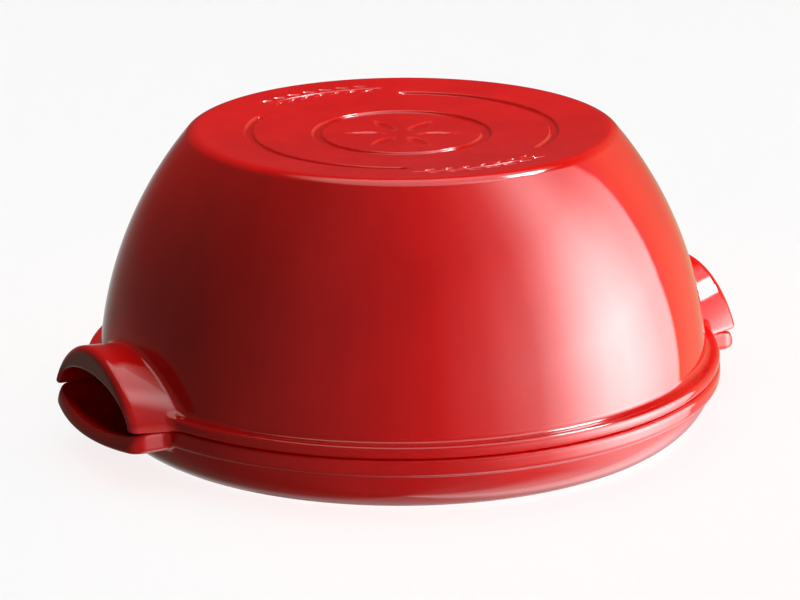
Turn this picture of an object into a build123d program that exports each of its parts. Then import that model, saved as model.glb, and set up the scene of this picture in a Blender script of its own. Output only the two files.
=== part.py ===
from build123d import *
import math
import os

# ---------------------------------------------------------------------------
# Round stoneware bread cloche: a shallow base dish and a high domed lid.
# Millimetres, +Z up, origin on the rotation axis at the resting plane.
# The two handles lie on +X and -X.
# ---------------------------------------------------------------------------

# overall heights
joint_z = 27.8            # plane where the lid sits on the base rim
crest_z = 138.6           # edge of the lid's top, before it is rounded
top_dish = 4.2            # how far the middle of the top sinks below it

# lid
dome_rho = 180.0          # the dome's side is one arc of this radius
dome_cr, dome_cz = -38.5, 20.0    # its centre, (radius, height)
shoulder = 3.0            # rounding between top and side
lid_wall = 7.8            # wall thickness of the dome
lid_top_t = 9.6           # thickness of the top at its edge
shoulder_in = 12.0        # inside rounding
lid_rim_r = 147.5         # widest radius of the lid's rim bead
lid_ledge_z = 33.6        # height of the ledge above the bead
side_foot_z = 38.0        # the side ends here in a hollow curve
tongue_r_out = 137.9      # locating tongue, outer radius
tongue_r_in = 132.6       # locating tongue, inner radius
tongue_z = 23.6           # lower end of the tongue

# base
base_rim_r = 147.8        # widest radius of the base's rim bead
seat_r_in = 138.5         # inner radius of the seat that takes the tongue
seat_r_out = 145.3
floor_z = 9.4             # inside floor height
foot_r_out = 127.8        # foot ring, outer radius
foot_r_in = 116.0         # foot ring, inner radius
foot_recess = 2.0         # hollow under the floor
rib_h = 0.9               # low rings on the floor under the loaf
rib_w = 4.0
rib_radii = (22.0, 42.0, 62.0, 82.0, 102.0)

# handles
arch_x = 158.8            # front face of the lid's arch, from the axis
arch_half = 43.4          # half width of the arch at the joint plane
arch_crest = 55.5         # height of the arch crest at the front face
arch_round = 3.4          # rounding of the front face's outer edge
mouth_round = 2.2         # rounding of the finger opening
arch_root = (130.0, 51.2, 52.6)   # distance from the axis, half width and crest height inside the dome
mouth_half = 37.8         # finger opening under the arch, half width
mouth_crest = 43.4        # finger opening, ceiling height
lip_x = 163.8             # outermost point of the base's handle lip
lip_bow = 150.0           # plan radius of its outer edge
lip_half = 43.5           # half width of the lip
lip_corner = 6.0          # corner rounding in plan
lip_top = 27.5            # the lip's tips reach up to the arch's feet
lip_slope = ((154.8, 27.5), (160.0, 23.9), (163.0, 20.2))   # from there it falls outwards
lip_bottom_mid = 15.6
lip_bottom_end = 18.2
lip_round = 1.8
dish_x, dish_z = 152.6, 36.0      # centre of the hollow in the lip
dish_half, dish_r = 49.5, 15.5

# engraved decoration of the top
ring_r, ring_w = 38.8, 5.6
arc_r, arc_w = 70.0, 4.6
groove_d = 1.1
arc_one = (-55.9, 60.9)   # degrees
arc_two = (131.5, 241.3)
sprig_r = 78.6            # grain sprigs between the two arcs
sprig_d = 0.7
sprig_mids = (96.2, 272.7)
rosette_r = 16.5


def polar(r, deg):
    return r * math.cos(math.radians(deg)), r * math.sin(math.radians(deg))


def side_r(z, rho=dome_rho):
    """Radius of the dome's side at height z."""
    return dome_cr + math.sqrt(rho ** 2 - (z - dome_cz) ** 2)


def shoulder_points(rho, rounding, top_z):
    """Inside rounding tangent to a level ceiling and to the dome's side."""
    cz = top_z - rounding
    cr = dome_cr + math.sqrt((rho - rounding) ** 2 - (cz - dome_cz) ** 2)
    dr, dz = (cr - dome_cr) / (rho - rounding), (cz - dome_cz) / (rho - rounding)
    half = 0.5 * (math.pi / 2 - math.atan2(dz, dr))
    mid = (cr + rounding * math.sin(half), cz + rounding * math.cos(half))
    return (cr, top_z), mid, (dome_cr + rho * dr, dome_cz + rho * dz)


crest_r = side_r(crest_z)     # radius of the top's edge


def crown_z(r):
    """Height of the dished top at radius r."""
    return crest_z - top_dish * (1 - (r / crest_r) ** 2)


in_a, in_m, in_b = shoulder_points(dome_rho - lid_wall, shoulder_in, crest_z - lid_top_t)

# ------------------------------------------------------------------ lid ----
with BuildPart() as visor_mouth:
    # finger opening: a half tube that runs in as far as the dome's wall
    with BuildSketch(Plane.YZ.offset(125.0)):
        with BuildLine():
            roof = EllipticalCenterArc((0, joint_z), mouth_half, mouth_crest - joint_z, 0, arc_size=180)
            Polyline(roof @ 1, (-mouth_half, joint_z - 12), (mouth_half, joint_z - 12), roof @ 0)
        make_face()
    extrude(amount=45.0)
    with BuildSketch(Plane.XZ):
        with BuildLine():
            Polyline((0, 0), (140.4, 0), (140.4, 34.0), (139.8, 45.0), (0, 45.0), (0, 0))
        make_face()
    revolve(axis=Axis.Z, mode=Mode.SUBTRACT)

with BuildPart() as visor:
    # arched visor, widening and rising towards the dome
    for x, half, crest in ((arch_x, arch_half, arch_crest), arch_root):
        with BuildSketch(Plane.YZ.offset(x)):
            with BuildLine():
                bow = ThreePointArc((-half, joint_z), (0, crest), (half, joint_z))
                Line(bow @ 1, bow @ 0)
            make_face()
    loft()
    rim = visor.edges().filter_by(lambda e: abs(e.center().X - arch_x) < 0.01 and e.bounding_box().max.Z > joint_z + 5)
    fillet(rim, arch_round)

with BuildPart() as lid_dome:
    # dome with ledge, rounded bead and locating tongue, still solid
    with BuildSketch(Plane.XZ) as lid_profile:
        with BuildLine():
            hollow = ThreePointArc((0, crown_z(0)), (crest_r / 2, crown_z(crest_r / 2)), (crest_r, crest_z))
            side = ThreePointArc(hollow @ 1, (side_r(92), 92), (side_r(side_foot_z), side_foot_z))
            cove = ThreePointArc(side @ 1, (141.5, 34.8), (144.0, lid_ledge_z))
            step = Line(cove @ 1, (144.9, lid_ledge_z - 0.15))
            bead = ThreePointArc(step @ 1, (146.9, 32.7), (lid_rim_r, 31.0))
            flat = Line(bead @ 1, (lid_rim_r, joint_z + 2.2))
            under = ThreePointArc(flat @ 1, (146.856, joint_z + 0.644), (145.3, joint_z))
            Polyline(under @ 1, (tongue_r_out, joint_z), (tongue_r_out, tongue_z + 1.2), (tongue_r_out - 1.2, tongue_z), (0, tongue_z), hollow @ 0)
        make_face()
        fillet(lid_profile.vertices().sort_by(Axis.Y)[-1], shoulder)
    revolve(axis=Axis.Z)

    # the two visors are one clay body with the dome
    add(visor.part)
    add(visor.part, rotation=(0, 0, 180))

    # finger openings
    add(visor_mouth.part, mode=Mode.SUBTRACT)
    add(visor_mouth.part, rotation=(0, 0, 180), mode=Mode.SUBTRACT)

    # inside of the dome
    with BuildSketch(Plane.XZ):
        with BuildLine():
            ceiling = ThreePointArc((0, in_a[1] - 2.0), (in_a[0] / 2, in_a[1] - 1.5), in_a)
            edge_in = ThreePointArc(ceiling @ 1, in_m, in_b)
            side_in = ThreePointArc(edge_in @ 1, (side_r(90, dome_rho - lid_wall), 90), (side_r(36.6, dome_rho - lid_wall), 36.6))
            Polyline(side_in @ 1, (tongue_r_in, 33.6), (tongue_r_in, tongue_z + 1.2), (tongue_r_in + 1.2, tongue_z), (tongue_r_in + 1.2, tongue_z - 6), (0, tongue_z - 6), ceiling @ 0)
        make_face()
    revolve(axis=Axis.Z, mode=Mode.SUBTRACT)

    # rounded edge of each finger opening
    mouths = lid_dome.edges().filter_by(lambda e: abs(abs(e.center().X) - arch_x) < 0.01 and 50 < e.bounding_box().size.Y < 2 * mouth_half + 1)
    fillet(mouths, mouth_round)

    # engraved inner ring
    with BuildSketch(Plane.XZ):
        with Locations((ring_r, crown_z(ring_r))):
            Ellipse(ring_w / 2, groove_d)
    revolve(axis=Axis.Z, mode=Mode.SUBTRACT)

    # engraved outer ring, in two arcs
    for begin, end in (arc_one, arc_two):
        ax, ay = polar(1.0, begin)
        with BuildSketch(Plane(origin=(0, 0, 0), x_dir=(ax, ay, 0), z_dir=(ay, -ax, 0))):
            with Locations((arc_r, crown_z(arc_r))):
                Ellipse(arc_w / 2, groove_d)
        revolve(axis=Axis.Z, revolution_arc=end - begin, mode=Mode.SUBTRACT)

    # engraved grain sprigs in the two gaps of the outer ring
    for mid in sprig_mids:
        for row, lean in ((-3.4, -24.0), (3.4, 24.0)):
            with BuildSketch(Plane.XY.offset(crest_z + 1)):
                for i in range(7):
                    a = mid - 22.0 + 6.2 * i + (1.4 if row > 0 else 0.0)
                    with Locations(Location(polar(sprig_r + row, a), a + 90.0 - lean)):
                        Ellipse(3.5, 1.25)
            extrude(amount=-(1 + crest_z - crown_z(sprig_r + row) + sprig_d), mode=Mode.SUBTRACT)
        with BuildSketch(Plane.XY.offset(crest_z + 1)):
            with BuildLine():
                CenterArc((0, 0), sprig_r + 0.45, mid - 27.0, 44.0)
                CenterArc((0, 0), sprig_r - 0.45, mid - 27.0, 44.0)
                Line(polar(sprig_r + 0.45, mid - 27.0), polar(sprig_r - 0.45, mid - 27.0))
                Line(polar(sprig_r + 0.45, mid + 17.0), polar(sprig_r - 0.45, mid + 17.0))
            make_face()
        extrude(amount=-(1 + crest_z - crown_z(sprig_r) + sprig_d), mode=Mode.SUBTRACT)

    # engraved rosette of six leaves inside the inner ring
    with BuildSketch(Plane.XY.offset(crest_z + 1)):
        for i in range(6):
            with Locations(Location(polar(rosette_r, 60.0 * i + 30.0), 60.0 * i + 30.0)):
                Ellipse(9.5, 3.1)
    extrude(amount=-(1 + crest_z - crown_z(rosette_r) + sprig_d), mode=Mode.SUBTRACT)

# ----------------------------------------------------------------- base ----
with BuildPart() as lip:
    # scoop under each visor: bowed outer edge, its underside a slight bow too
    with BuildSketch(Plane.XY.offset(10.0)) as lip_plan:
        with BuildLine():
            corner_x = lip_x - lip_bow + math.sqrt(lip_bow ** 2 - lip_half ** 2)
            outer = ThreePointArc((corner_x, -lip_half), (lip_x, 0), (corner_x, lip_half))
            Polyline(outer @ 1, (125.0, lip_half), (125.0, -lip_half), outer @ 0)
        make_face()
        fillet(lip_plan.vertices().sort_by(Axis.X)[-2:], lip_corner)
    extrude(amount=lip_top - 10.0)
    with BuildSketch(Plane.YZ.offset(120.0)):
        with BuildLine():
            belly = ThreePointArc((-52.0, lip_bottom_end + 1.0), (0, lip_bottom_mid), (52.0, lip_bottom_end + 1.0))
            Polyline(belly @ 1, (52.0, 5.0), (-52.0, 5.0), belly @ 0)
        make_face()
    extrude(amount=60.0, mode=Mode.SUBTRACT)
    skirt = lip.edges().filter_by(lambda e: e.center().X > 140 and e.center().Z < 21 and e.bounding_box().size.Z < 6 and e.length > 5)
    fillet(skirt, lip_round)
    # the outer edge falls away from the arch
    with BuildSketch(Plane.XZ):
        with BuildLine():
            fall = ThreePointArc(*lip_slope)
            Polyline(fall @ 1, (170.0, lip_slope[2][1] - 6.0), (170.0, 34.0), (lip_slope[0][0], 34.0), fall @ 0)
        make_face()
    extrude(amount=60.0, both=True, mode=Mode.SUBTRACT)
    with BuildSketch(Plane.XY):
        Circle(141.4)
    extrude(amount=40.0, mode=Mode.SUBTRACT)

with BuildPart() as lip_dish:
    # hollow in the top of the lip, a long rounded trough
    with BuildSketch(Plane(origin=(dish_x, 0, dish_z), x_dir=(0, 1, 0), z_dir=(1, 0, 0))):
        Ellipse(dish_half, dish_r)
        with Locations((0, 50)):
            Rectangle(200, 100, mode=Mode.SUBTRACT)
    revolve(axis=Axis((dish_x, 0, dish_z), (0, 1, 0)))

with BuildPart() as base_dish:
    # dish with foot ring, rim bead and seat for the tongue
    with BuildSketch(Plane.XZ):
        with BuildLine():
            foot = Line((foot_r_in, 0), (foot_r_out, 0))
            wall = ThreePointArc(foot @ 1, (138.7, 7.5), (144.2, 17.6))
            Polyline(wall @ 1, (144.4, 19.2), (145.7, 19.8))
            bead_low = ThreePointArc((145.7, 19.8), (147.25, 21.2), (base_rim_r, 23.0))
            bead_mid = Line(bead_low @ 1, (base_rim_r, joint_z - 2.5))
            bead_top = ThreePointArc(bead_mid @ 1, (147.067, joint_z - 0.733), (seat_r_out, joint_z))
            Polyline(bead_top @ 1, (seat_r_in + 0.8, joint_z), (seat_r_in, joint_z - 0.8), (seat_r_in, 19.5))
            inner = ThreePointArc((seat_r_in, 19.5), (134.6, 12.3), (127.0, floor_z))
            Polyline(inner @ 1, (0, floor_z), (0, foot_recess), (foot_r_in - 2.0, foot_recess), foot @ 0)
        make_face()
    revolve(axis=Axis.Z)

    # low concentric rings on the floor
    for r in rib_radii:
        with BuildSketch(Plane.XZ):
            with Locations((r, floor_z)):
                Ellipse(rib_w / 2, rib_h)
        revolve(axis=Axis.Z)

    add(lip.part)
    add(lip.part, rotation=(0, 0, 180))
    add(lip_dish.part, mode=Mode.SUBTRACT)
    add(lip_dish.part, rotation=(0, 0, 180), mode=Mode.SUBTRACT)

lid_dome.part.label = "lid_dome"
base_dish.part.label = "base_dish"

os.makedirs("parts", exist_ok=True)
export_step(lid_dome.part, "parts/lid_dome.step")
export_step(base_dish.part, "parts/base_dish.step")
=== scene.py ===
import math

import bpy
import numpy as np
from mathutils import Matrix, Quaternion, Vector


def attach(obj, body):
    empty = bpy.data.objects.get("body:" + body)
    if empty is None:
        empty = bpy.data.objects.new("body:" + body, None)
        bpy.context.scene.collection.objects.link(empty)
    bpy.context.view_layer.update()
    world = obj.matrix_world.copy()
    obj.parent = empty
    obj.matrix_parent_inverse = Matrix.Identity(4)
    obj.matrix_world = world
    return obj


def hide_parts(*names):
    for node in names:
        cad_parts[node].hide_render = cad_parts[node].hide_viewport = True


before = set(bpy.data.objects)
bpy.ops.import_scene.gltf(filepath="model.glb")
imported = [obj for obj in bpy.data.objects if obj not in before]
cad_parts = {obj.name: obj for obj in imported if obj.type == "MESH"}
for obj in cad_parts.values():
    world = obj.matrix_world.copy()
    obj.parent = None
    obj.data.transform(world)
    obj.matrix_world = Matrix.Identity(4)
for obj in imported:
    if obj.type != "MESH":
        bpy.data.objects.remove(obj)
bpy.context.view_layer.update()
scene = bpy.context.scene
scene.view_settings.view_transform = "Standard"
scene.view_settings.look = "None"

# ----------------------------------------------------------------- camera ---
# The camera stands 1.6 m away, 17 degrees up, turned 28.4 degrees from the front.
VIEW_AZ, VIEW_EL, DIST = math.radians(-28.44), math.radians(16.97), 1.607
FOCAL_PX = 2.15 * 1607.0
OFF_X, OFF_Y = 2.9, 3.4          # the picture's middle lies this far left of and below the target, pixels
ROLL = math.radians(0.31)
back = Vector((math.sin(VIEW_AZ) * math.cos(VIEW_EL), -math.cos(VIEW_AZ) * math.cos(VIEW_EL), math.sin(VIEW_EL)))
side = Vector((math.cos(VIEW_AZ), math.sin(VIEW_AZ), 0.0))
above = back.cross(side)
target = Vector((0, 0, 0.0562))
aim = target - side * (OFF_X / FOCAL_PX * DIST) - above * (OFF_Y / FOCAL_PX * DIST)
cam_data = bpy.data.cameras.new("camera")
cam_data.sensor_width = 36.0
cam_data.lens = 36.0 * FOCAL_PX / 800.0
cam_data.clip_start, cam_data.clip_end = 0.05, 50.0
cam = bpy.data.objects.new("camera", cam_data)
scene.collection.objects.link(cam)
cam.location = target + back * DIST
cam.rotation_mode = "QUATERNION"
cam.rotation_quaternion = (aim - cam.location).to_track_quat("-Z", "Y") @ Quaternion((0, 0, 1), -ROLL)
scene.camera = cam


def around(az, el, dist, center=(0, 0, 0.06)):
    """A point seen from center, az degrees to the right of the camera and el degrees up."""
    a, e = math.radians(az), math.radians(el)
    local = Vector((math.sin(a) * math.cos(e), -math.cos(a) * math.cos(e), math.sin(e)))
    return Vector(center) + (Matrix.Rotation(VIEW_AZ, 3, "Z") @ local) * dist


# ----------------------------------------------------------------- lights ---
def softbox(name, az, el, dist, width, height, power, color=(1, 1, 1)):
    data = bpy.data.lights.new(name, "AREA")
    data.shape = "RECTANGLE"
    data.size, data.size_y = width, height
    data.energy = power
    data.color = color
    light = bpy.data.objects.new(name, data)
    scene.collection.objects.link(light)
    light.location = around(az, el, dist)
    toward = Vector((0, 0, 0.06)) - light.location
    light.rotation_mode = "QUATERNION"
    light.rotation_quaternion = toward.to_track_quat("-Z", "Y")
    light.visible_glossy = False
    light.visible_camera = False
    return light


# a broad box on the right, bounce from the table below it, and soft fill all round;
# these fall on the dish alone, and the pale sheet it stands on has its own light
dish_lights = [
    softbox("key", 64, 12, 1.6, 1.42, 1.42, 22.5),
    softbox("bounce_right", 95, -30, 1.6, 1.16, 1.16, 15.3),
    softbox("high_right", 105, 50, 1.6, 1.16, 1.16, 12.0),
    softbox("front_fill", 30, 5, 1.6, 1.85, 1.85, 10.2),
    softbox("bounce_front", 25, -35, 1.6, 1.3, 1.3, 4.0),
    softbox("left_fill", -100, 5, 1.6, 1.85, 1.85, 0.4),
    softbox("back_fill", -170, 50, 1.6, 1.49, 1.49, 34.0),
]

world = bpy.data.worlds.new("world")
scene.world = world
world.use_nodes = True
world.node_tree.nodes["Background"].inputs[0].default_value = (0.93, 0.93, 0.93, 1)
world.node_tree.nodes["Background"].inputs[1].default_value = 1.0
world.cycles_visibility.diffuse = False
world.cycles_visibility.glossy = False
world.cycles_visibility.transmission = False
world.cycles_visibility.scatter = False


def smooth(x, a, b):
    t = np.clip((x - a) / (b - a), 0, 1)
    return t * t * (3 - 2 * t)


def studio_radiance(az, el):
    """What the glaze mirrors: a tall softbox on the right, one overhead, a dark room in front."""
    base = 0.20 - 0.07 * smooth(-az, 35, 80) - 0.13 * smooth(np.abs(az), 95, 150) * smooth(el, -12, 8) - 0.04 * (1 - smooth(el, -60, -30)) + 0.06 * smooth(-az, 95, 150)
    edge = np.interp(el, [-12, -9, -2.5, 4, 12, 21, 26.5, 31, 40], [123, 122.8, 121.6, 120, 120, 119.5, 118, 115, 110])
    near = az + (120.3 - edge) * smooth(az, 60, 110)
    tall = np.interp(near, [12, 30, 50, 60, 70, 80, 90, 100, 110, 119, 121.2], [0, .045, .175, .43, .80, 1.08, 1.06, .76, .47, .34, 0])
    high = np.interp(el, [-50, -34, -20, -8, 7, 22, 37, 52, 66, 80], [0, 1.6, 8.0, 12.6, 15.4, 11.0, 5.6, 3.9, 2.4, 0])
    out = base + tall * high
    # the pale wall behind on the right, and the table behind
    out += smooth(near, 119.5, 122.5) * (0.62 - 0.45 * smooth(az, 124, 164)) * (1 - smooth(az, 158, 171)) * (1 - smooth(el, 20, 45))
    out += 0.40 * smooth(np.abs(az), 140, 172) * (1 - smooth(el, -16, 2))
    # a small lamp high behind on the right, and the lit table below on the right
    out += 36.0 * smooth(az, 101, 106) * (1 - smooth(az, 130, 140)) * smooth(el, 50.5, 53) * (1 - smooth(el, 60, 64))
    out += (0.35 * smooth(az, 5, 45) + 1.3 * smooth(az, 60, 105)) * (1 - smooth(az, 140, 165)) * (1 - smooth(el, -42, -18))
    # overhead box, leaning back
    a, e = np.radians(az), np.radians(el)
    d = np.stack([np.sin(a) * np.cos(e), -np.cos(a) * np.cos(e), np.sin(e)], -1)
    t = math.radians(100)
    c = np.array([0.12, -math.cos(t), math.sin(t)])
    ang = np.degrees(np.arccos(np.clip(d @ (c / np.linalg.norm(c)), -1, 1)))
    out += 2.0 * (1 - smooth(ang, 22, 34))
    return out


def reflection_dome():
    na, ne, radius = 721, 361, 3.0
    az = np.linspace(-180, 180, na)
    el = np.linspace(-90, 90, ne)
    A, E = np.meshgrid(az, el)
    a, e = np.radians(A), np.radians(E)
    co = np.stack([np.sin(a) * np.cos(e), -np.cos(a) * np.cos(e), np.sin(e)], -1).reshape(-1, 3) * radius
    i = np.arange(ne - 1)[:, None] * na + np.arange(na - 1)[None]
    quads = np.stack([i, i + na, i + na + 1, i + 1], -1).reshape(-1, 4)
    mesh = bpy.data.meshes.new("reflection_dome")
    mesh.from_pydata(co.tolist(), [], quads.tolist())
    attr = mesh.attributes.new("radiance", "FLOAT", "POINT")
    attr.data.foreach_set("value", studio_radiance(A, E).astype(np.float32).ravel())
    warm = mesh.attributes.new("warm", "FLOAT", "POINT")
    warm.data.foreach_set("value", (
        smooth(A, 120, 124) * (1 - smooth(A, 165, 175)) * smooth(E, -22, -12) * (1 - smooth(E, 45, 52))
        + 0.45 * smooth(-A, 20, 60) * (1 - smooth(-A, 140, 170))).astype(np.float32).ravel())
    obj = bpy.data.objects.new("reflection_dome", mesh)
    scene.collection.objects.link(obj)
    obj.rotation_euler = (0, 0, VIEW_AZ)
    mat = bpy.data.materials.new("reflection_dome")
    mat.use_nodes = True
    nt = mat.node_tree
    nt.nodes.clear()
    out = nt.nodes.new("ShaderNodeOutputMaterial")
    em = nt.nodes.new("ShaderNodeEmission")
    at = nt.nodes.new("ShaderNodeAttribute")
    at.attribute_name = "radiance"
    aw = nt.nodes.new("ShaderNodeAttribute")
    aw.attribute_name = "warm"
    mix = nt.nodes.new("ShaderNodeMix")
    mix.data_type = "RGBA"
    mix.inputs["A"].default_value = (1, 1, 1, 1)
    mix.inputs["B"].default_value = (1.0, 0.95, 0.6, 1)
    nt.links.new(aw.outputs["Fac"], mix.inputs["Factor"])
    nt.links.new(mix.outputs["Result"], em.inputs[0])
    nt.links.new(at.outputs["Fac"], em.inputs[1])
    nt.links.new(em.outputs[0], out.inputs[0])
    mat.cycles.emission_sampling = "NONE"
    mesh.materials.append(mat)
    obj.visible_camera = False
    obj.visible_diffuse = False
    obj.visible_transmission = False
    obj.visible_volume_scatter = False
    obj.visible_shadow = False
    return obj


reflection_dome()

# ------------------------------------------------------------------ floor ---
floor_mesh = bpy.data.meshes.new("floor")
floor_mesh.from_pydata([(-8, -8, 0), (8, -8, 0), (8, 8, 0), (-8, 8, 0)], [], [(0, 1, 2, 3)])
floor = bpy.data.objects.new("floor", floor_mesh)
scene.collection.objects.link(floor)
floor_mat = bpy.data.materials.new("floor")
floor_mat.use_nodes = True
fb = floor_mat.node_tree.nodes["Principled BSDF"]
fb.inputs["Base Color"].default_value = (0.80, 0.80, 0.80, 1)
fb.inputs["Roughness"].default_value = 0.9
fb.inputs["Specular IOR Level"].default_value = 0.1
floor_mesh.materials.append(floor_mat)
floor.visible_glossy = False
floor.visible_diffuse = False
floor.location.z = -0.0002

# light for the floor alone, so that it reads as one even pale sheet with a faint contact shadow
only_floor = bpy.data.collections.new("only_floor")
only_floor.objects.link(floor)
sheet_sun = bpy.data.lights.new("sheet_light", "SUN")
sheet_sun.energy = 3.35
sheet_light = bpy.data.objects.new("sheet_light", sheet_sun)
scene.collection.objects.link(sheet_light)
sheet_light.visible_glossy = False
sheet_light.light_linking.receiver_collection = only_floor
sheet_light.light_linking.blocker_collection = only_floor
shade_light = softbox("shade_light", 0, 86, 2.2, 3.6, 3.6, 12.0)
shade_light.light_linking.receiver_collection = only_floor


# ------------------------------------------------------------ shape tools ---
# Both pieces are drawn here in millimetres as smooth distance fields, with every
# edge rounded as thick glaze rounds it, and meshed on a cylindrical grid.
def round_max(a, b, r):
    return np.minimum(np.maximum(a, b), -r) + np.hypot(np.maximum(r + a, 0), np.maximum(r + b, 0))


def round_min(a, b, r):
    return -round_max(-a, -b, r)


def steps(*parts):
    """Grid lines: (from, to, step) runs joined end to end."""
    out = []
    for a, b, h in parts:
        n = max(1, int(round((b - a) / h)))
        out.append(np.linspace(a, b, n + 1)[:-1])
    out.append(np.array([parts[-1][1]], float))
    return np.concatenate(out)


def gradient(field, p, h=0.04):
    g = np.empty_like(p)
    for k in range(3):
        d = np.zeros(3)
        d[k] = h
        q, w = p + d, p - d
        g[:, k] = (field(*q.T) - field(*w.T)) / (2 * h)
    return g


def net(field, rr, ph, zz):
    """Surface net of field < 0 on a cylindrical grid, open at the inner radius."""
    R, P, Z = np.meshgrid(rr, ph, zz, indexing="ij")
    pos = np.stack([R * np.cos(P), R * np.sin(P), Z], -1)
    F = field(pos[..., 0].ravel(), pos[..., 1].ravel(), pos[..., 2].ravel()).reshape(R.shape)
    shape = (len(rr) - 1, len(ph), len(zz) - 1)
    acc, cnt = np.zeros(shape + (3,)), np.zeros(shape)
    nx = lambda a: np.roll(a, -1, axis=1)

    def edges(f0, f1, p0, p1):
        m = (f0 < 0) != (f1 < 0)
        t = np.where(m, f0 / np.where(m, f0 - f1, 1.0), 0.0)
        return m, (p0 + t[..., None] * (p1 - p0)) * m[..., None]

    m0, e0 = edges(F[:-1], F[1:], pos[:-1], pos[1:])
    m1, e1 = edges(F, nx(F), pos, nx(pos))
    m2, e2 = edges(F[:, :, :-1], F[:, :, 1:], pos[:, :, :-1], pos[:, :, 1:])
    for m, e, ax in ((m0, e0, 0), (m1, e1, 1), (m2, e2, 2)):
        m = m.astype(float)
        for u in (0, 1):
            for v in (0, 1):
                if ax == 0:
                    a, b = (nx(m) if u else m), (nx(e) if u else e)
                    s = slice(v, v + shape[2])
                    cnt += a[:, :, s]
                    acc += b[:, :, s]
                elif ax == 1:
                    cnt += m[u:u + shape[0], :, v:v + shape[2]]
                    acc += e[u:u + shape[0], :, v:v + shape[2]]
                else:
                    a, b = (nx(m) if v else m), (nx(e) if v else e)
                    cnt += a[u:u + shape[0]]
                    acc += b[u:u + shape[0]]
    act = cnt > 0
    vid = -np.ones(shape, int)
    vid[act] = np.arange(act.sum())
    verts = acc[act] / cnt[act][:, None]
    faces = []
    pv = lambda a: np.roll(a, 1, axis=1)
    # crossings along the radius
    i, j, k = np.nonzero(m0)
    v = pv(vid)
    q = np.stack([v[i, j, k - 1], vid[i, j, k - 1], vid[i, j, k], v[i, j, k]], -1)
    keep = F[i, j, k] < 0
    faces.append(np.where(keep[:, None], q, q[:, ::-1]))
    # crossings around the axis
    i, j, k = np.nonzero(m1)
    ok = i >= 1
    i, j, k = i[ok], j[ok], k[ok]
    q = np.stack([vid[i - 1, j, k - 1], vid[i - 1, j, k], vid[i, j, k], vid[i, j, k - 1]], -1)
    keep = F[i, j, k] < 0
    faces.append(np.where(keep[:, None], q, q[:, ::-1]))
    # crossings along the height
    i, j, k = np.nonzero(m2)
    ok = i >= 1
    i, j, k = i[ok], j[ok], k[ok]
    q = np.stack([v[i - 1, j, k], v[i, j, k], vid[i, j, k], vid[i - 1, j, k]], -1)
    keep = F[i, j, k] < 0
    faces.append(np.where(keep[:, None], q, q[:, ::-1]))
    for _ in range(4):
        g = gradient(field, verts)
        f = field(*verts.T)
        s = -f / np.maximum((g * g).sum(1), 0.2)
        verts = verts + np.clip(s, -0.6, 0.6)[:, None] * g
    g = gradient(field, verts)
    n = g / np.maximum(np.linalg.norm(g, axis=1, keepdims=True), 1e-9)
    rim = [[vid[0, j, k] for k in np.nonzero(act[0, j])[0]] for j in range(shape[1])]
    low = np.array([min(r, key=lambda t: verts[t, 2]) for r in rim])
    high = np.array([max(r, key=lambda t: verts[t, 2]) for r in rim])
    return verts, n, np.concatenate(faces), low, high


def sharpness(field, p, n, reach=2.2):
    """1 on the outward edges, where glaze draws thin, 0 on flats and hollows."""
    inside = p - n * reach
    return smooth(reach + field(*inside.T), 0.12, 0.75)


def disc(first, ring, verts, radii, height, up):
    """Round sheet z = height(x, y) inside the ring of net vertices."""
    a = np.arctan2(verts[ring, 1], verts[ring, 0])
    c, s = np.cos(a), np.sin(a)
    R = np.asarray(radii, float)[::-1]
    x, y = (R[:, None] * c).ravel(), (R[:, None] * s).ravel()
    x, y = np.append(x, 0.0), np.append(y, 0.0)
    h = 0.03
    z = height(x, y)
    gx = (height(x + h, y) - height(x - h, y)) / (2 * h)
    gy = (height(x, y + h) - height(x, y - h)) / (2 * h)
    n = np.stack([-gx, -gy, np.ones_like(gx)], -1)
    n /= np.linalg.norm(n, axis=1, keepdims=True)
    if not up:
        n = -n
    m = len(ring)
    rows = [np.asarray(ring)] + [first + q * m + np.arange(m) for q in range(len(R))]
    faces = []
    for outer, inner in zip(rows[:-1], rows[1:]):
        q = np.stack([inner, outer, np.roll(outer, -1), np.roll(inner, -1)], -1)
        faces.append(q if up else q[:, ::-1])
    last = rows[-1]
    tip = np.full(m, first + len(R) * m)
    t = np.stack([tip, last, np.roll(last, -1)], -1)
    return np.stack([x, y, z], -1), n, np.concatenate(faces), (t if up else t[:, ::-1])


def piece(name, verts, normals, quads, tris, attrs):
    mesh = bpy.data.meshes.new(name)
    nv, nq, nt3 = len(verts), len(quads), len(tris)
    mesh.vertices.add(nv)
    mesh.vertices.foreach_set("co", (verts * 0.001).astype(np.float32).ravel())
    loops = np.concatenate([quads.ravel(), tris.ravel()])
    mesh.loops.add(len(loops))
    mesh.loops.foreach_set("vertex_index", loops.astype(np.int32))
    mesh.polygons.add(nq + nt3)
    start = np.concatenate([np.arange(nq) * 4, nq * 4 + np.arange(nt3) * 3])
    mesh.polygons.foreach_set("loop_start", start.astype(np.int32))
    mesh.polygons.foreach_set("use_smooth", np.ones(nq + nt3, bool))
    mesh.update(calc_edges=True)
    mesh.validate()
    for key_name, values in attrs.items():
        at = mesh.attributes.new(key_name, "FLOAT", "POINT")
        at.data.foreach_set("value", values.astype(np.float32))
    mesh.normals_split_custom_set_from_vertices(normals.tolist())
    obj = bpy.data.objects.new(name, mesh)
    scene.collection.objects.link(obj)
    return obj


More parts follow.
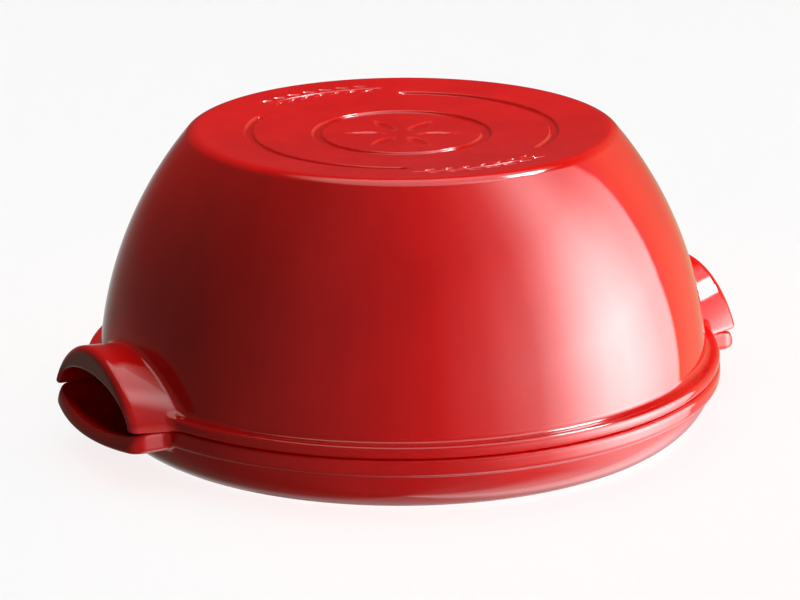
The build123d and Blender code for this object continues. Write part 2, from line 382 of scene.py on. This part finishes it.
# -------------------------------------------------------------------- lid ---
JOINT = 27.8
CREST, CREST_R, TOP_DISH = 138.58, 96.9, 4.2
LEAVES = []
for mid in (96.2, 272.7):
    for row, lean in ((-3.4, -24.0), (3.4, 24.0)):
        for i in range(7):
            a = mid - 22.0 + 6.2 * i + (1.4 if row > 0 else 0.0)
            LEAVES.append((78.6 + row, a, a + 90.0 - lean, 3.5, 1.25))
for i in range(6):
    LEAVES.append((16.5, 60.0 * i + 30.0, 60.0 * i + 30.0, 9.5, 3.1))


def crown(r):
    return CREST - TOP_DISH * (1 - (r / CREST_R) ** 2)


def engraving(x, y):
    """Depth of the decoration pressed into the top."""
    r, a = np.hypot(x, y), np.degrees(np.arctan2(y, x))
    groove = lambda t: 1 - smooth(t, 0.50, 1.05)
    d = 1.15 * groove(np.abs(r - 38.8) / 2.8)
    for begin, end in ((-55.9, 60.9), (131.5, 241.3)):
        half, mid = 0.5 * (end - begin), 0.5 * (begin + end)
        off = (a - mid + 180) % 360 - 180
        over = np.maximum(np.abs(off) - half, 0)
        dist = np.where(over > 0, np.hypot(r - 70.0, np.radians(over) * 70.0), np.abs(r - 70.0))
        d = np.maximum(d, 1.15 * groove(dist / 2.35))
    for lr, la, turn, lu, lv in LEAVES:
        cx, cy = lr * math.cos(math.radians(la)), lr * math.sin(math.radians(la))
        c, s = math.cos(math.radians(turn)), math.sin(math.radians(turn))
        u, v = (x - cx) * c + (y - cy) * s, -(x - cx) * s + (y - cy) * c
        q = np.hypot(u / lu, v / (lv * (1.08 - 0.25 * np.clip(u / lu, -1, 1))))
        d = np.maximum(d, 0.78 * (1 - smooth(q, 0.45, 1.12)))
    for mid in (96.2, 272.7):
        off = (a - (mid - 5.0) + 180) % 360 - 180
        over = np.maximum(np.abs(off) - 22.0, 0)
        dist = np.hypot(r - 78.6, np.radians(over) * 78.6)
        d = np.maximum(d, 0.6 * (1 - smooth(dist, 0.15, 0.85)))
    return d


def top_height(x, y):
    return crown(np.hypot(x, y)) - engraving(x, y)


def ceiling_height(x, y):
    r = np.hypot(x, y)
    return 129.0 - 2.0 * (1 - np.clip(r / 88.4, 0, 1) ** 2)


def lid_field(x, y, z):
    r, ax = np.hypot(x, y), np.abs(x)
    side_d = np.hypot(r + 38.5, z - 20.0) - 180.0
    dome = round_max(side_d, z - crown(r), 3.0)
    flange = round_max(r - 147.45, z - 33.55, 2.3)
    body = round_min(dome, flange, 2.6)
    # arch: a broad bow, widening and sinking a little towards the dome
    t = 158.75 - ax
    half, crest = 43.35 + 0.27 * t, 55.45 - 0.1 * t
    k = crest - JOINT
    rho = (half * half + k * k) / (2 * k)
    bow = np.hypot(y, z - (crest - rho)) - rho
    arch = np.maximum(round_max(bow, ax - 158.75, 3.8), 118.0 - ax)
    body = round_min(body, arch, 2.2)
    body = round_max(body, JOINT + 0.05 - z, 2.2)
    # finger opening
    up = np.maximum(z - JOINT, 0)
    k0 = np.hypot(y / 37.8, up / 15.6)
    k1 = np.hypot(y / 37.8 ** 2, up / 15.6 ** 2)
    tube = k0 * (k0 - 1) / np.maximum(k1, 1e-6)
    mouth = round_max(tube, 140.4 - r, 3.0)
    body = round_max(body, -mouth, 2.0)
    tongue = np.maximum(round_max(r - 137.9, 23.6 - z, 1.2), z - 36.0)
    body = np.minimum(body, tongue)
    # inside
    cav = round_max(np.hypot(r + 38.5, z - 20.0) - 172.2, z - ceiling_height(x, y), 12.0)
    cav = round_max(cav, r - 132.6, 3.0)
    return round_max(body, -cav, 1.2)


def sector(center, half, h):
    return (center - half, center + half, h)


lid_phi = np.radians(steps(
    sector(0.0, 21.5, 0.5), (21.5, 70.7, 2.0), sector(96.2, 25.5, 0.62), (121.7, 158.5, 2.0),
    sector(180.0, 21.5, 0.5), (201.5, 247.2, 2.0), sector(272.7, 25.5, 0.62), (298.2, 338.5, 2.0)))[:-1]
lid_r = steps((87.0, 93.0, 1.5), (93.0, 99.6, 0.66), (99.6, 112.0, 1.6), (112.0, 131.0, 2.4), (131.0, 167.2, 1.0))
lid_z = steps((22.2, 60.0, 0.9), (60.0, 123.0, 3.0), (123.0, 133.0, 1.25), (133.0, 141.0, 0.6))
v, n, q, low, high = net(lid_field, lid_r, lid_phi, lid_z)
top_rings = steps((0.9, 7.0, 1.5), (7.0, 26.0, 0.9), (26.0, 35.5, 2.4), (35.5, 42.1, 0.37), (42.1, 67.0, 3.0),
                  (67.0, 73.0, 0.37), (73.0, 85.2, 0.5), (85.2, 86.5, 1.3))
dv, dn, dq, dt = disc(len(v), high, v, top_rings, top_height, True)
pool = np.concatenate([np.zeros(len(v)), engraving(dv[:, 0], dv[:, 1])])
thin = sharpness(lid_field, v, n)
cut = engraving(dv[:, 0], dv[:, 1])
lip_of_cut = smooth(cut, 0.0, 0.08) * (1 - smooth(cut, 0.2, 0.6))
v2, n2 = np.concatenate([v, dv]), np.concatenate([n, dn])
cv, cn, cq, ct = disc(len(v2), low, v, steps((4.0, 86.0, 9.0)), ceiling_height, False)
lid = piece("lid_surface", np.concatenate([v2, cv]), np.concatenate([n2, cn]), np.concatenate([q, dq, cq]),
            np.concatenate([dt, ct]), {"pool": np.concatenate([pool, np.zeros(len(cv))]),
                                       "thin": np.concatenate([thin, lip_of_cut, np.zeros(len(cv))])})

# ------------------------------------------------------------------- base ---
RIBS = (22.0, 42.0, 62.0, 82.0, 102.0)


def circle_through(a, b, c):
    ax, ay, bx, by, cx, cy = *a, *b, *c
    d = 2 * (ax * (by - cy) + bx * (cy - ay) + cx * (ay - by))
    ux = ((ax * ax + ay * ay) * (by - cy) + (bx * bx + by * by) * (cy - ay) + (cx * cx + cy * cy) * (ay - by)) / d
    uy = ((ax * ax + ay * ay) * (cx - bx) + (bx * bx + by * by) * (ax - cx) + (cx * cx + cy * cy) * (bx - ax)) / d
    return ux, uy, math.hypot(ax - ux, ay - uy)


WALL_R, WALL_Z, WALL_RHO = circle_through((127.8, 0.0), (138.7, 7.5), (144.2, 17.6))


def floor_height(x, y):
    r = np.hypot(x, y)
    z = np.full_like(r, 9.4)
    for rib in RIBS:
        z = np.maximum(z, 9.4 + 0.9 * (1 - smooth(np.abs(r - rib), 0.5, 2.1)))
    return z


def under_height(x, y):
    return np.full_like(x, 2.0)


def base_field(x, y, z):
    r, ax = np.hypot(x, y), np.abs(x)
    wall = np.maximum(np.hypot(r - WALL_R, z - WALL_Z) - WALL_RHO, z - 24.0)
    wall = np.maximum(wall, r - 147.0)
    bead = round_max(r - 147.75, 19.7 - z, 3.0)
    body = round_min(wall, bead, 0.9)
    # scoop under each arch
    plan = round_max(np.hypot(ax - 13.8, y) - 149.95, np.abs(y) - 43.45, 6.0)
    fall = (ax - 154.8) * 0.665 + (z - 27.5) * 0.747
    belly = 15.6 + 2.8 * (y / 46.0) ** 2 - z
    scoop = round_max(round_max(plan, fall, 3.0), belly, 2.6)
    body = round_min(body, np.maximum(scoop, 120.0 - ax), 2.6)
    body = round_max(body, z - (JOINT - 0.05), 2.2)
    body = round_max(body, 0.03 - z, 1.0)
    hollow = np.hypot(ax - 152.6, z - 36.0) - 15.5 * np.sqrt(np.maximum(1 - (y / 49.5) ** 2, 1e-4))
    body = round_max(body, -hollow, 2.2)
    bowl = round_max(r - 138.5, 9.4 - z, 11.0)
    body = round_max(body, -bowl, 1.0)
    under = round_max(r - 115.5, z - 2.0, 1.2)
    return round_max(body, -under, 0.8)


base_phi = np.radians(steps(sector(0.0, 19.5, 0.5), (19.5, 160.5, 2.0), sector(180.0, 19.5, 0.5), (199.5, 340.5, 2.0)))[:-1]
base_r = steps((106.5, 131.0, 1.5), (131.0, 170.4, 1.0))
base_z = steps((-1.4, 29.6, 0.85))
v, n, q, low, high = net(base_field, base_r, base_phi, base_z)
thin = sharpness(base_field, v, n)
rib_rings = []
for a, b in zip((1.5,) + tuple(t + 2.4 for t in RIBS), tuple(t - 2.4 for t in RIBS)):
    rib_rings += [(a, b, 5.0), (b, b + 4.8, 0.5)]
dv, dn, dq, dt = disc(len(v), high, v, steps(*rib_rings), floor_height, True)
v2, n2 = np.concatenate([v, dv]), np.concatenate([n, dn])
cv, cn, cq, ct = disc(len(v2), low, v, steps((5.0, 105.0, 12.0)), under_height, False)
allv = np.concatenate([v2, cv])
base = piece("base_surface", allv, np.concatenate([n2, cn]), np.concatenate([q, dq, cq]),
             np.concatenate([dt, ct]), {"pool": np.zeros(len(allv)),
                                        "thin": np.concatenate([thin, np.zeros(len(dv) + len(cv))])})
for obj in (lid, base):
    print("MESH", obj.name, len(obj.data.vertices), sum(len(p.vertices) - 2 for p in obj.data.polygons))


# the dish lights: they see the two pieces only, and nothing but the pieces shades them
dish_set = bpy.data.collections.new("dish_set")
dish_set.objects.link(lid)
dish_set.objects.link(base)
for light in dish_lights:
    light.light_linking.receiver_collection = dish_set
    light.light_linking.blocker_collection = dish_set


# -------------------------------------------------------------- materials ---
class Nodes:
    """Small helper that writes a node tree."""

    def __init__(self, mat):
        mat.use_nodes = True
        self.nt = mat.node_tree
        self.bsdf = self.nt.nodes["Principled BSDF"]
        self.position = self.nt.nodes.new("ShaderNodeTexCoord").outputs["Object"]

    def put(self, kind, ins=None, **props):
        node = self.nt.nodes.new(kind)
        for key_name, value in props.items():
            setattr(node, key_name, value)
        for key_name, value in (ins or {}).items():
            if isinstance(value, bpy.types.NodeSocket):
                self.nt.links.new(value, node.inputs[key_name])
            else:
                node.inputs[key_name].default_value = value
        return node

    def noise(self, scale, detail=2.0, rough=0.5, dist=0.0, shift=(0, 0, 0), stretch=(1, 1, 1)):
        at = self.put("ShaderNodeMapping", {"Vector": self.position, "Location": shift, "Scale": stretch})
        return self.put("ShaderNodeTexNoise", {"Vector": at.outputs[0], "Scale": scale, "Detail": detail,
                                               "Roughness": rough, "Distortion": dist}).outputs["Fac"]

    def span(self, value, a, b, c=0.0, d=1.0, soft=False):
        kind = "SMOOTHSTEP" if soft else "LINEAR"
        return self.put("ShaderNodeMapRange", {"Value": value, "From Min": a, "From Max": b, "To Min": c, "To Max": d},
                        interpolation_type=kind).outputs[0]

    def math(self, op, a, b=0.0):
        return self.put("ShaderNodeMath", {0: a, 1: b}, operation=op).outputs[0]

    def blend(self, fac, a, b):
        return self.put("ShaderNodeMix", {"Factor": fac, "A": a, "B": b}, data_type="RGBA").outputs["Result"]

    def specks(self, scale, size, share, shift):
        """Round spots of a given size on a share of the cells."""
        at = self.put("ShaderNodeMapping", {"Vector": self.position, "Location": shift})
        cells = self.put("ShaderNodeTexVoronoi", {"Vector": at.outputs[0], "Scale": scale, "Randomness": 1.0})
        spot = self.span(cells.outputs["Distance"], size, size * 0.45, soft=True)
        pick = self.put("ShaderNodeSeparateColor", {"Color": cells.outputs["Color"]}).outputs[0]
        return self.math("MULTIPLY", spot, self.math("LESS_THAN", pick, share))


def glaze(name, seed, foot):
    mat = bpy.data.materials.new(name)
    n = Nodes(mat)
    shift = (seed * 1.7, seed * 0.9, seed * 0.4)
    # the glaze lies thick in some places and thin in others
    cloud = n.noise(14.0, 3.0, 0.55, 0.3, shift)
    run = n.noise(9.0, 2.0, 0.5, 0.4, shift, (6.0, 6.0, 1.0))
    thick = n.math("ADD", n.math("MULTIPLY", cloud, 0.65), n.math("MULTIPLY", run, 0.35))
    colour = n.blend(n.span(thick, 0.34, 0.66, soft=True), (0.655, 0.0050, 0.0046, 1), (0.565, 0.0026, 0.0029, 1))
    fine = n.noise(420.0, 2.0, 0.6, 0.0, shift)
    colour = n.blend(n.span(fine, 0.35, 0.72, 0.0, 0.10), colour, (0.72, 0.012, 0.010, 1))
    # it pools darker in the engraving and draws thin on the edges beside it
    depth = n.put("ShaderNodeAttribute", attribute_name="pool").outputs["Fac"]
    pooled = n.span(depth, 0.25, 1.05, 0.0, 0.42, soft=True)
    colour = n.blend(pooled, colour, (0.36, 0.0016, 0.0022, 1))
    edge = n.put("ShaderNodeAttribute", attribute_name="thin").outputs["Fac"]
    thin = n.math("MULTIPLY", edge, n.span(n.noise(55.0, 3.0, 0.6, 0.0, shift), 0.3, 0.7, 0.35, 1.0))
    colour = n.blend(n.math("MULTIPLY", thin, 0.5), colour, (0.80, 0.060, 0.045, 1))
    # iron specks and pinholes
    iron = n.math("MAXIMUM", n.specks(150.0, 0.055, 0.10, shift), n.specks(260.0, 0.075, 0.05, (3.0, 1.0, seed)))
    colour = n.blend(n.math("MULTIPLY", iron, 0.72), colour, (0.075, 0.004, 0.003, 1))
    pin = n.specks(95.0, 0.028, 0.16, (seed, 5.0, 2.0))
    # roughness: glassy, with a faint haze and hairline wear
    haze = n.noise(26.0, 4.0, 0.6, 0.5, (4.0, seed, 1.0))
    rough = n.span(haze, 0.35, 0.75, 0.035, 0.07)
    wear_map = n.put("ShaderNodeMapping", {"Vector": n.position, "Rotation": (0.35, 0.2, 0.6), "Scale": (60.0, 900.0, 60.0)})
    hair = n.put("ShaderNodeTexNoise", {"Vector": wear_map.outputs[0], "Scale": 1.0, "Detail": 2.0, "Roughness": 0.6}).outputs["Fac"]
    hair = n.math("MULTIPLY", n.span(hair, 0.70, 0.78, soft=True), n.span(haze, 0.48, 0.62, soft=True))
    rough = n.math("ADD", rough, n.math("MULTIPLY", hair, 0.06))
    rough = n.math("ADD", rough, n.math("MULTIPLY", iron, 0.10))
    rough = n.math("ADD", rough, n.math("MULTIPLY", pin, 0.25))
    if foot:
        # the glaze ends just above the foot in a wavy line and the clay shows, drawn as a pale pinkish band that is
        # partly bare clay and partly a painted reflection of the pale floor
        height = n.put("ShaderNodeSeparateXYZ", {"Vector": n.position}).outputs["Z"]
        wave = n.span(n.noise(70.0, 3.0, 0.55, 0.2, shift), 0.3, 0.7, -0.0006, 0.0006)
        level = n.math("ADD", height, wave)
        bare_clay_and_floor_reflection = n.span(level, 0.0034, 0.0024, soft=True)
        clay_and_reflection_tone = n.blend(n.noise(160.0, 4.0, 0.65, 0.0, shift), (0.46, 0.150, 0.140, 1), (0.62, 0.250, 0.235, 1))
        halo = n.math("MULTIPLY", n.span(level, 0.0048, 0.0030, soft=True), 0.5)
        colour = n.blend(halo, colour, (0.50, 0.022, 0.018, 1))
        # painted reflection: the pale clay band also stands in for the floor mirrored in the glaze near the foot
        colour = n.blend(bare_clay_and_floor_reflection, colour, clay_and_reflection_tone)
        rough = n.math("ADD", rough, n.math("MULTIPLY", bare_clay_and_floor_reflection, 0.42))
    # surface: slow swell of hand-finished clay, orange peel, pinholes
    swell = n.noise(38.0, 1.0, 0.4, 0.0, (2.0, seed, 7.0))
    peel = n.noise(260.0, 1.0, 0.4, 0.0, (7.0, 2.0, seed))
    n.nt.links.new(colour, n.bsdf.inputs["Base Color"])
    n.nt.links.new(rough, n.bsdf.inputs["Roughness"])
    b0 = n.put("ShaderNodeBump", {"Height": swell, "Distance": 0.00005, "Strength": 1.0})
    b1 = n.put("ShaderNodeBump", {"Height": peel, "Distance": 0.000006, "Strength": 1.0, "Normal": b0.outputs[0]})
    pits = n.math("SUBTRACT", n.math("MULTIPLY", hair, -0.15), n.math("ADD", pin, n.math("MULTIPLY", iron, -0.35)))
    b2 = n.put("ShaderNodeBump", {"Height": pits, "Distance": 0.00006, "Strength": 1.0, "Normal": b1.outputs[0]})
    last = b2
    if foot:
        grit = n.math("MULTIPLY", n.noise(1500.0, 3.0, 0.6, 0.0, shift), bare_clay_and_floor_reflection)
        last = n.put("ShaderNodeBump", {"Height": grit, "Distance": 0.00025, "Strength": 1.0, "Normal": b2.outputs[0]})
    n.nt.links.new(last.outputs[0], n.bsdf.inputs["Normal"])
    n.bsdf.inputs["IOR"].default_value = 1.5
    return mat


lid.data.materials.append(glaze("lid_red_glaze", 1.0, False))
base.data.materials.append(glaze("base_red_glaze", 2.0, True))
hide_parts("lid_dome")
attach(lid, "lid")
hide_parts("base_dish")
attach(base, "base")
